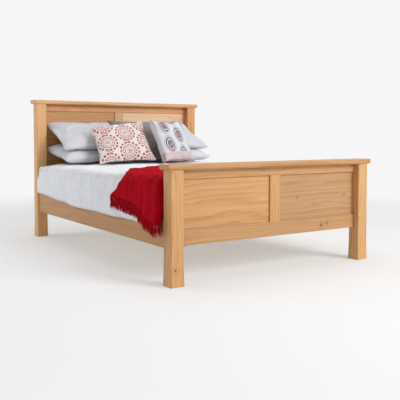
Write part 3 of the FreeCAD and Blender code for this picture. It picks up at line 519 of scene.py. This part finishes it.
def tree_without(*left_out):
    """What a soft piece has to keep clear of: every CAD node but those named."""
    points, faces = [], []
    for name, node in nodes.items():
        if name in left_out:
            continue
        start = len(points)
        points += [vertex.co.copy() for vertex in node.data.vertices]
        faces += [[start + index for index in face.vertices] for face in node.data.polygons]
    return BVHTree.FromPolygons(points, faces)


def tree_of(name):
    """One CAD node's own surface, to measure from."""
    form = merged(name)
    tree = BVHTree.FromBMesh(form)
    form.free()
    return tree


def evened(name, voxel):
    """A CAD node's form in small, even facets."""
    form = merged(name)
    mesh = bpy.data.meshes.new(name + "_rough")
    form.to_mesh(mesh)
    form.free()
    holder = bpy.data.objects.new(name + "_rough", mesh)
    bpy.context.scene.collection.objects.link(holder)
    even = holder.modifiers.new("even", "REMESH")
    even.mode = "VOXEL"
    even.voxel_size = voxel
    graph = bpy.context.evaluated_depsgraph_get()
    mesh = bpy.data.meshes.new_from_object(holder.evaluated_get(graph))
    bpy.data.objects.remove(holder)
    return mesh


def smooth_step(value, low, high):
    """0 at low and 1 at high, with soft ends."""
    share = min(1.0, max(0.0, (value - low) / (high - low)))
    return share * share * (3 - 2 * share)


def laid(mesh, places):
    """Keep each point's place on the cloth, for its weave and print."""
    layer = mesh.attributes.new(pad_layer, "FLOAT_VECTOR", "POINT")
    layer.data.foreach_set("vector", [value for place in places for value in place])


def dressed(name, mesh, material, body, replaced=()):
    """A soft piece: its mesh in its finish, the body it rides with and what it stands in for."""
    piece = bpy.data.objects.new(name, mesh)
    bpy.context.scene.collection.objects.link(piece)
    mesh.materials.clear()
    mesh.materials.append(material)
    for face in mesh.polygons:
        face.use_smooth = True
    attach(piece, body)
    if replaced:
        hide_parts(*replaced)
    return piece


def finer(piece):
    """One smooth subdivision, the same in the view and the render."""
    smooth = piece.modifiers.new("smooth", "SUBSURF")
    smooth.levels = smooth.render_levels = 1


def tube(name, runs, radius, material, body, closed=False, replaced=(), sides=1):
    """Cord, piping or yarn along lists of points."""
    data = bpy.data.curves.new(name, "CURVE")
    data.dimensions = "3D"
    data.bevel_depth = radius
    data.bevel_resolution = sides
    data.use_fill_caps = True
    for run in runs:
        spline = data.splines.new("POLY")
        spline.points.add(len(run) - 1)
        for point, place in zip(spline.points, run):
            point.co = (*place[:3], 1)
            point.radius = place[3] if len(place) > 3 else 1.0
        spline.use_cyclic_u = closed
    holder = bpy.data.objects.new(name + "_run", data)
    bpy.context.scene.collection.objects.link(holder)
    mesh = bpy.data.meshes.new_from_object(holder.evaluated_get(bpy.context.evaluated_depsgraph_get()))
    bpy.data.objects.remove(holder)
    bpy.data.curves.remove(data)
    mesh.name = name
    return dressed(name, mesh, material, body, replaced)


# ---------------------------------------------------------------- pillows and cushions
# how thick a pillow is at its seam
thin_edge = 0.008
# a cushion whose edge is wider than this has a sewn-in band and two seams
wide_band = 0.020
seam_radius = 0.0013
seam_points = 160
crown_roundness = 0.42
# the cloth run: its frames, the air pressure, and the slack in the cloth (a negative shrinkage)
blow_frames, blow_pressure, blow_slack = 20, 4.0, -0.060
# rounds of averaging that leave only the broad swelling
broad_rounds = 60
deepest_pucker = 0.0095


class Pad:
    """A pillow or cushion, sewn from a front and a back over the space that its CAD solid holds."""

    def __init__(self, name, size, band, draw_in, turn, lean, tilt=0.0, plump=0.0, crown=None, slump=0.0,
                 count=(56, 40)):
        self.name = name
        self.size = size
        self.band = band
        self.draw_in = draw_in
        self.turned = (Matrix.Rotation(math.radians(turn), 3, "Z")
                       @ Matrix.Rotation(math.radians(-lean), 3, "X")
                       @ Matrix.Rotation(math.radians(tilt), 3, "Y"))
        back = self.turned.transposed()
        form = merged(name)
        for vertex in form.verts:
            vertex.co = back @ vertex.co
        low = Vector([min(v.co[i] for v in form.verts) for i in range(3)])
        high = Vector([max(v.co[i] for v in form.verts) for i in range(3)])
        self.middle = (low + high) / 2
        for vertex in form.verts:
            vertex.co -= self.middle
        self.solid = BVHTree.FromBMesh(form)
        form.free()
        self.others = tree_without(name)
        self.own = tree_of(name)
        self.plump = plump
        self.crown = crown
        self.slump = slump
        self.mesh = self.sewn(count)

    def world(self, place):
        """A place in the pad's own axes, as a place on the bed."""
        return self.turned @ (Vector(place) + self.middle)

    def outline(self, a, b):
        """Place in the pad's own plane; its sides pull in between the corners."""
        half_w, half_h = self.size[0] / 2 - 0.001, self.size[1] / 2 - 0.001
        x = a * (half_w - self.draw_in * (1 - b * b))
        z = b * (half_h - self.draw_in * (1 - a * a))
        return x, z - self.slump * ((1 - a) / 2) ** 2 * ((1 + b) / 2) ** 2

    def height(self, x, z, a, b, side):
        """How far the CAD solid reaches from the pad's own plane, and how much the filling may add."""
        fullness = max(0.0, (1 - a * a) * (1 - b * b))
        if self.crown:
            reach = self.band / 2 + (self.crown - self.band) / 2 * fullness ** crown_roundness
        else:
            hit = self.solid.ray_cast((x, side, z), (0, -side, 0))[0]
            reach = max(abs(hit.y) if hit else 0.0, self.band / 2)
        root = math.sqrt(fullness)
        return reach, self.plump * 4 * root * (1 - root)

    def sewn(self, count):
        """Front and back as grids, closer together towards the edge, joined along their rim."""
        form = bmesh.new()
        layer = form.verts.layers.float_vector.new(pad_layer)
        edge_pull = 0.86
        for side in (-1, 1):
            before = set(form.verts)
            bmesh.ops.create_grid(form, x_segments=count[0], y_segments=count[1], size=1.0)
            fresh = [v for v in form.verts if v not in before]
            for vertex in fresh:
                a, b = (math.sin(value * edge_pull * math.pi / 2) / math.sin(edge_pull * math.pi / 2)
                        for value in vertex.co[:2])
                x, z = self.outline(a, b)
                reach, growth = self.height(x, z, a, b, side)
                place = self.world((x, side * reach, z))
                room = self.others.find_nearest(place)[3]
                reach += min(growth, room * share_of_room)
                vertex[layer] = (x, side * reach, z)
                vertex.co = self.world((x, side * reach, z))
        rim = [edge for edge in form.edges if edge.is_boundary]
        bridge = bmesh.ops.bridge_loops(form, edges=rim)
        across = [e for f in bridge["faces"] for e in f.edges if e not in set(rim)]
        if self.band > wide_band:
            bmesh.ops.subdivide_edges(form, edges=list(set(across)), cuts=3)
        bmesh.ops.recalc_face_normals(form, faces=form.faces)
        mesh = bpy.data.meshes.new(self.name + "_skin")
        form.to_mesh(mesh)
        form.free()
        return mesh

    def kept_clear(self, place):
        """The place, drawn back where it stands too far out of its own solid and towards a neighbour."""
        near, facing = self.own.find_nearest(place)[:2]
        out = place - near
        if out.dot(facing) <= 0:
            return place
        most = self.others.find_nearest(near)[3] * share_of_room - clear_gap
        if most >= out.length:
            return place
        return near + (out.normalized() * most if most > 0 else facing * most)

    def rim(self, offset=0.0):
        """Points round the seam, on the finished skin."""
        form = bmesh.new()
        form.from_mesh(self.mesh)
        skin = BVHTree.FromBMesh(form)
        form.free()
        found = []
        for i in range(seam_points):
            turn = 2 * math.pi * i / seam_points
            a, b = math.cos(turn), math.sin(turn)
            scale = 1 / max(abs(a), abs(b))
            x, z = self.outline(a * scale, b * scale)
            place = skin.find_nearest(self.world((x, offset, z)))[0]
            found.append(tuple(place))
        return found


def inflate(pads):
    """Blow the pads up as cloth, in one run, and keep the puckers that come up in their skin."""
    scene = bpy.context.scene
    holders = []
    for pad in pads:
        holder = bpy.data.objects.new(pad.name + "_blown", pad.mesh)
        scene.collection.objects.link(holder)
        holders.append(holder)
        cloth = holder.modifiers.new("cloth", "CLOTH")
        cloth.settings.quality = 5
        cloth.settings.mass = 0.15
        cloth.settings.bending_stiffness = 0.3
        cloth.settings.use_pressure = True
        cloth.settings.uniform_pressure_force = blow_pressure
        cloth.settings.shrink_min = blow_slack
        cloth.settings.effector_weights.gravity = 0.0
        cloth.point_cache.frame_start = 1
        cloth.point_cache.frame_end = blow_frames
    for frame_number in range(1, blow_frames + 1):
        scene.frame_set(frame_number)
    graph = bpy.context.evaluated_depsgraph_get()
    for pad, holder in zip(pads, holders):
        mesh = pad.mesh
        count = len(mesh.vertices)
        start = numpy.empty(count * 3)
        mesh.vertices.foreach_get("co", start)
        start = start.reshape(-1, 3)
        normals = numpy.empty(count * 3)
        mesh.vertices.foreach_get("normal", normals)
        normals = normals.reshape(-1, 3)
        blown = numpy.empty(count * 3)
        holder.evaluated_get(graph).data.vertices.foreach_get("co", blown)
        rise = ((blown.reshape(-1, 3) - start) * normals).sum(axis=1)
        # what is left after the broad swelling is taken away is the puckers
        edges = numpy.empty(len(mesh.edges) * 2, dtype=numpy.int64)
        mesh.edges.foreach_get("vertices", edges)
        one, other = edges.reshape(-1, 2).T
        degree = numpy.bincount(edges, minlength=count)
        broad = rise.copy()
        for _ in range(broad_rounds):
            around = numpy.bincount(one, broad[other], count) + numpy.bincount(other, broad[one], count)
            broad = around / degree
        pucker = numpy.clip(rise - broad, -deepest_pucker, deepest_pucker)
        room = numpy.array([pad.others.find_nearest(place)[3] for place in start])
        pucker = numpy.minimum(pucker, room * share_of_room * 0.5)
        ended = start + normals * pucker[:, None]
        clear = [value for place in ended for value in pad.kept_clear(Vector(place))]
        mesh.vertices.foreach_set("co", clear)
        mesh.update()
    for holder in holders:
        bpy.data.objects.remove(holder)
    scene.frame_set(1)


def pillows_and_cushions():
    """Each pad's size, its turn and lean on the bed, and its finish."""
    pillow = dict(size=(0.638, 0.425), band=thin_edge, draw_in=0.014, turn=0, plump=0.011)
    made = [
        Pad("pillow_lower_left", lean=80, **pillow),
        Pad("pillow_lower_right", lean=80, **pillow),
        Pad("pillow_upper_left", lean=64, **pillow),
        Pad("pillow_upper_right", lean=64, **pillow),
        Pad("pillow_grey", size=(0.640, 0.430), band=thin_edge, draw_in=0.014, turn=2, lean=41, plump=0.009),
        Pad("cushion_sprig", size=(0.440, 0.395), band=thin_edge, draw_in=0.013, turn=-12, lean=41, tilt=-4,
            plump=0.010, slump=0.060, count=(52, 46)),
        Pad("cushion_print", size=(0.380, 0.338), band=0.028, draw_in=0.006, turn=24, lean=24, crown=0.094,
            count=(48, 42)),
    ]
    inflate(made)
    finishes = {
        "pillow_grey": ("grey_linen", grey_linen(), 0.72),
        "cushion_sprig": ("sprig_cotton", sprig_print(), 0.80),
        "cushion_print": ("print_cotton", slate_print(), 0.82),
    }
    cotton = white_cotton("pillow_cotton", (240, 241, 244), (212, 215, 221), 0.85)
    for pad in made:
        name = pad.name
        slot, finish, fill = finishes.get(name, ("white_cotton", cotton, 0.70))
        piece = dressed(name + "_cover", pad.mesh, finish, name, (name,))
        seams = [pad.rim()] if pad.band < wide_band else [pad.rim(-pad.band / 2), pad.rim(pad.band / 2)]
        finer(piece)
        tube(name + "_seam", seams, seam_radius, finish_of_seam[slot], name, closed=True)


# ---------------------------------------------------------------- duvet, throw, fringe, mattress
# where the covers turn down, and how high they lie
shoulder_x = 0.700
cover_top = 0.5646
# facet sizes that carry the folds and the quilting
duvet_facet, throw_facet, mattress_facet = 0.0105, 0.016, 0.013
throw_cut_rounds = 8
# the fuller part of the duvet's sides: its lowest height, how tall it is and how far it comes out
belly_foot, belly_height, belly_depth = 0.335, 0.215, 0.011
# how far the throw may swell towards the foot cap
flap_swell = 0.001
throw_foot_end = -0.9358
# the side hem, as distances from the foot end with heights, and the height of the foot hem by the posts
hem_line = ((0.0, 0.318), (0.120, 0.350), (0.205, 0.400), (0.530, 0.428))
corner_hem = 0.322
side_hem_start, side_hem_end, side_spacing = 0.006, 0.527, 0.0082
corner_start, corner_end, corner_spacing = 0.694, 0.778, 0.0080
# yarns at each spot of the side hem and of the foot hem
side_yarns, corner_yarns = 5, 4
yarn_radius = 0.0020
# a yarn is drawn in steps; it starts above the hem and is thinner at its end
strand_steps = 5
strand_root = 0.006
strand_taper = 0.45
# the mattress piping, and the steps that round each of its corners
piping_radius = 0.0034
corner_steps = 8


def cloth_place(place):
    """Distance across the covers from their middle, over the shoulder and down, and along the bed."""
    across = min(abs(place.x), shoulder_x) + max(0.0, cover_top - place.z)
    return (math.copysign(across, place.x), place.y, 0.0)


def crease(place, seed):
    """Soft folds and sharper creases, 0 to 1, in cloth lengths."""
    u, v, _ = place
    broad = noise.noise(Vector((u * 3.2 + seed, v * 4.1 - u * 2.0, seed)))
    pulled = noise.noise(Vector((u * 5.0, v * 15.0 + u * 6.0, seed + 5)))
    small = noise.noise(Vector((u * 17.0, v * 30.0 - u * 12.0, seed + 9)))
    ridge = 1 - abs(noise.noise(Vector((u * 7.0 + v * 3.0, v * 11.0 - u * 5.0, seed + 14)))) * 2.2
    height = 0.44 + 0.36 * broad + 0.46 * pulled + 0.16 * small + 0.30 * max(0.0, ridge) - 0.12
    return min(1.0, max(0.0, height))


def duvet_piece():
    """Filled cover: its CAD form, evened out, with hollows pressed in from outside and fuller sides."""
    mesh = evened("duvet", duvet_facet)
    form = bmesh.new()
    form.from_mesh(mesh)
    bmesh.ops.smooth_vert(
        form, verts=form.verts, factor=0.5, use_axis_x=True, use_axis_y=True, use_axis_z=True)
    form.normal_update()
    places = []
    for vertex in form.verts:
        place = cloth_place(vertex.co)
        places.append(place)
        normal = vertex.normal
        x, y, z = abs(vertex.co.x), vertex.co.y, vertex.co.z
        side = smooth_step(abs(normal.x), 0.3, 0.7) * smooth_step(x, 0.733, 0.740)
        outer = max(smooth_step(normal.z, 0.2, 0.6) * smooth_step(z, 0.546, 0.556), side)
        deepest = 0.0115 + 0.003 * smooth_step(z, 0.50, 0.56)
        corner = (outer * smooth_step(y, 0.66, 0.91) * smooth_step(x, 0.58, 0.76)
                  * smooth_step(z, 0.42, 0.56))
        # the filling rounds the sides out between the throw and the headboard
        height = min(1.0, max(0.0, (z - belly_foot) / belly_height))
        belly = side * smooth_step(y, -0.36, -0.16) * math.sin(math.pi * height)
        vertex.co -= normal * (outer * deepest * (1 - crease(place, 3.0)))
        vertex.co.x += math.copysign(belly_depth * belly, vertex.co.x)
        vertex.co -= Vector((math.copysign(0.010, vertex.co.x), 0, 0.016)) * corner
    form.to_mesh(mesh)
    form.free()
    mesh.name = "duvet_cover"
    laid(mesh, places)
    cotton = white_cotton("duvet_cotton", (252, 252, 253), (229, 232, 238), 1.0)
    piece = dressed("duvet_cover", mesh, cotton, "duvet", ("duvet",))
    return piece


def throw_piece():
    """Soft woven blanket: the CAD sheet in small facets, lifted off the duvet in narrow folds."""
    form = merged("throw")
    for _ in range(throw_cut_rounds):
        long = [edge for edge in form.edges if edge.calc_length() > throw_facet]
        if not long:
            break
        bmesh.ops.subdivide_edges(form, edges=long, cuts=1)
        bmesh.ops.triangulate(form, faces=[face for face in form.faces if len(face.verts) > 3])
    under = tree_of("duvet")
    others = tree_without("throw", "throw_fringe", "duvet", "mattress")
    places, moves = [], []
    for vertex in form.verts:
        place = cloth_place(vertex.co)
        places.append(place)
        u, v, _ = place
        fold = noise.noise(Vector((u * 1.6, v * 19.0 + 0.9 * math.sin(u * 5.0), 2.0)))
        ripple = noise.noise(Vector((u * 9.0, v * 42.0 + u * 5.0, 8.0)))
        rise = 0.0060 + 0.0150 * fold + 0.0030 * ripple
        near = under.find_nearest(vertex.co)
        away = (vertex.co - near[0]).normalized()
        room = others.find_nearest(vertex.co)[3]
        move = away * min(max(0.0, rise), room * share_of_room)
        # the flap at the foot has to lift past the overhang of the cap
        move.y = max(move.y, -flap_swell)
        moves.append(move)
    for vertex, move in zip(form.verts, moves):
        vertex.co += move
    bmesh.ops.recalc_face_normals(form, faces=form.faces)
    mesh = bpy.data.meshes.new("throw_blanket")
    form.to_mesh(mesh)
    tree = BVHTree.FromBMesh(form)
    form.free()
    laid(mesh, places)
    piece = dressed("throw_blanket", mesh, crimson_wool("throw_wool"), "throw", ("throw",))
    return piece, tree


def hem_height(back):
    """Height of the throw's side hem at a distance from its foot end."""
    for (y0, z0), (y1, z1) in zip(hem_line, hem_line[1:]):
        if back <= y1:
            return z0 + (z1 - z0) * (back - y0) / (y1 - y0)
    return hem_line[-1][1]


def side_strand(draw, side, back, strand, throw_tree, duvet_tree):
    """One yarn from the side hem, lying against the duvet."""
    swing = draw.uniform(-0.007, 0.007)
    lean = draw.uniform(-0.010, 0.010)
    length = draw.uniform(0.050, 0.070)
    y = throw_foot_end + back
    top = hem_height(back) + strand_root
    inward = Vector((-side, 0, 0))
    hit = throw_tree.ray_cast(Vector((side, y, top)), inward)[0]
    x = abs(hit.x) if hit else 0.765
    run = []
    for step in range(strand_steps + 1):
        share = step / strand_steps
        z = top - (length + strand_root) * share
        wave = 0.0016 * math.sin(7 * share + 40 * swing * 100)
        at_y = y + swing * share + lean * share * share + wave
        met = duvet_tree.ray_cast(Vector((side, at_y, z)), inward)[0]
        rest = abs(met.x) + 0.0030 if met else 0.0
        keep = max(rest, x - 0.010 * share)
        out = 0.0012 + 0.0045 * abs(math.sin(3.1 * share + strand * 1.7 + back * 90)) * share
        run.append((side * (keep + out), at_y, z, 1.0 - strand_taper * share))
    return run


def corner_strand(draw, side, reach, rail_top):
    """One yarn from the foot hem beside a post, or None where the side rail leaves it no room."""
    length = draw.uniform(0.046, 0.066)
    swing = draw.uniform(-0.006, 0.006)
    stand = draw.uniform(0.0015, 0.0032)
    drop = length + 0.004
    if reach < rail_top[0] + 0.012:
        drop = min(drop, corner_hem - rail_top[2] - 0.005)
    if drop < 0.008:
        return None
    run = []
    for step in range(strand_steps + 1):
        share = step / strand_steps
        out = 0.0016 * math.sin(6 * share + reach * 900)
        run.append((side * (reach + swing * share + out), throw_foot_end - stand - 0.0015 * share,
                    corner_hem - drop * share, 1.0 - strand_taper * share))
    return run


def fringe_piece(throw_tree):
    """Loose twisted yarns hanging from both hems."""
    draw = random.Random(11)
    duvet_tree = tree_of("duvet")
    rail_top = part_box("side_rail_right")[1]
    runs = []
    for side in (-1, 1):
        back = side_hem_start
        while back < side_hem_end:
            runs += [side_strand(draw, side, back, strand, throw_tree, duvet_tree)
                     for strand in range(side_yarns)]
            back += side_spacing
        reach = corner_start
        while reach < corner_end:
            found = [corner_strand(draw, side, reach, rail_top) for _ in range(corner_yarns)]
            runs += [run for run in found if run]
            reach += corner_spacing
    wool = crimson_wool("fringe_wool", True)
    return tube("throw_fringe_yarns", runs, yarn_radius, wool, "throw",
                replaced=("throw_fringe",))


def mattress_piece():
    """Sprung mattress: quilted ticking with piped edges."""
    mesh = evened("mattress", mattress_facet)
    form = bmesh.new()
    form.from_mesh(mesh)
    form.normal_update()
    half_x, half_y, low, high = 0.675, 0.941, 0.305, 0.530
    places = []
    for vertex in form.verts:
        x, y, z = vertex.co
        level = abs(vertex.normal.z) > 0.7
        places.append((x, y, 0.0) if level else (x + y, z, 0.0))
        if level:
            quilt = abs(math.sin((x + y) * 13)) * abs(math.sin((x - y) * 13))
            press = 0.004 * (1 - quilt ** 0.5)
        else:
            press = 0.003 * (1 - abs(math.sin((z - low) / (high - low) * 3 * math.pi)) ** 0.4)
        vertex.co -= vertex.normal * press
    form.to_mesh(mesh)
    form.free()
    mesh.name = "mattress_case"
    laid(mesh, places)
    finish = ticking("mattress_ticking_cloth")
    piece = dressed("mattress_case", mesh, finish, "mattress", ("mattress",))
    # the piping keeps inside the mattress's own space, clear of the duvet
    corner, inset = 0.050, 0.0076
    reach_x = half_x - inset - (corner - inset)
    reach_y = half_y - inset - (corner - inset)
    loops = []
    for z in (low + inset, high - inset):
        loop = []
        for quarter, (sign_x, sign_y) in enumerate(((1, 1), (-1, 1), (-1, -1), (1, -1))):
            for step in range(corner_steps + 1):
                turn = math.pi / 2 * (quarter + step / corner_steps)
                loop.append((sign_x * reach_x + (corner - inset) * math.cos(turn),
                             sign_y * reach_y + (corner - inset) * math.sin(turn), z))
        loops.append(loop)
    tube("mattress_piping", loops, piping_radius, finish, "mattress", closed=True,
         sides=2)


# ---------------------------------------------------------------- studio, camera
paper_white = (*linear((246, 246, 246)), 1)
# distances from the middle between which the floor fades into the backdrop
fade_start, fade_end = 2.3, 4.4


class Backdrop(Graph):
    """The world round the stage, with the same short ways to add nodes."""

    def __init__(self, name):
        self.world = bpy.data.worlds.new(name)
        self.world.use_nodes = True
        self.tree = self.world.node_tree
        self.shader = self.tree.nodes["Background"]


def in_view(g):
    """1 for a ray that the camera follows, straight or by gloss or glass, and 0 for one that only lights."""
    path = g.add("ShaderNodeLightPath").outputs
    return g.highest(path["Is Camera Ray"], path["Is Glossy Ray"], path["Is Transmission Ray"])


def studio_floor():
    """Pale paper that takes the shadow near the bed and fades into the backdrop further out."""
    floor = bmesh.new()
    bmesh.ops.create_grid(floor, x_segments=2, y_segments=2, size=12.0)
    mesh = bpy.data.meshes.new("studio_floor")
    floor.to_mesh(mesh)
    floor.free()
    ground = bpy.data.objects.new("studio_floor", mesh)
    bpy.context.scene.collection.objects.link(ground)
    g = Graph("floor_paper")
    fade = g.between(g.length("LENGTH", g.place()), fade_start, fade_end)
    matt = g.add("ShaderNodeBsdfDiffuse", {"Color": (0.54, 0.54, 0.54, 1)})
    lift = g.add("ShaderNodeEmission", {"Color": paper_white, "Strength": 0.365})
    paper = g.add("ShaderNodeAddShader", {0: matt.outputs[0], 1: lift.outputs[0]})
    glow = g.add("ShaderNodeEmission", {"Color": paper_white, "Strength": 1.0})
    share = g.math("MULTIPLY", in_view(g), fade)
    blend = g.add("ShaderNodeMixShader", {0: share, 1: paper.outputs[0], 2: glow.outputs[0]})
    g.put(g.tree.nodes["Material Output"].inputs["Surface"], blend.outputs[0])
    mesh.materials.append(g.material)


def lamp(name, place, target, size, power):
    """Square soft lamp that faces its target."""
    data = bpy.data.lights.new(name, "AREA")
    data.shape = "SQUARE"
    data.size = size
    data.energy = power
    piece = bpy.data.objects.new(name, data)
    piece.location = place
    piece.rotation_euler = (Vector(target) - Vector(place)).to_track_quat("-Z", "Y").to_euler()
    bpy.context.scene.collection.objects.link(piece)


def studio():
    """Paper floor and backdrop, soft light from the front right, camera low at the foot corner."""
    scene = bpy.context.scene
    scene.view_settings.view_transform = "Standard"
    studio_floor()

    # the backdrop looks white but lights the bed only half as much
    backdrop = Backdrop("studio_world")
    backdrop.set(Color=paper_white, Strength=backdrop.spread(in_view(backdrop), 0.50, 1.0))
    scene.world = backdrop.world

    lamp("key_front_right", (2.5, -6.0, 3.5), (0, -0.2, 0.4), 3.0, 330)
    lamp("fill_left", (-4.6, 3.4, 2.0), (-0.3, 0, 0.4), 2.2, 62)
    lamp("top", (0.0, 0.5, 5.0), (0, 0, 0), 4.0, 75)

    data = bpy.data.cameras.new("camera")
    data.sensor_width = 36.0
    data.lens = 57.27
    data.shift_x = 0.025
    data.shift_y = -0.0875
    camera = bpy.data.objects.new("camera", data)
    camera.location = (-2.4051, -3.7990, 0.7886)
    camera.rotation_euler = (math.radians(87.289), 0, math.radians(-32.946))
    scene.collection.objects.link(camera)
    scene.camera = camera


studio()
oak_pieces()
slat_pieces()
zinc = zinc_plate("zinc_plated_steel")
for name in ("corner_brackets", "bed_bolts", "bracket_screws", "ledger_screws", "slat_screws",
             "centre_rail_shoe_foot", "centre_rail_shoe_head"):
    wear(name, zinc)
glide_plastic = moulded_black("black_glide_plastic")
for name in ("centre_glide_foot", "centre_glide_head"):
    wear(name, glide_plastic)
tape_web = tape_webbing("woven_tape")
for name in ("slat_tape_left", "slat_tape_right"):
    wear(name, tape_web)

finish_of_seam = {
    "white_cotton": plain_seam("seam_white", (232, 233, 236)),
    "grey_linen": plain_seam("seam_grey", (128, 125, 121)),
    "sprig_cotton": plain_seam("seam_cream", (226, 216, 208)),
    "print_cotton": plain_seam("seam_pale_grey", (200, 200, 204)),
}
mattress_piece()
duvet_cover = duvet_piece()
throw_blanket, throw_tree = throw_piece()
yarn_fringe = fringe_piece(throw_tree)
pillows_and_cushions()
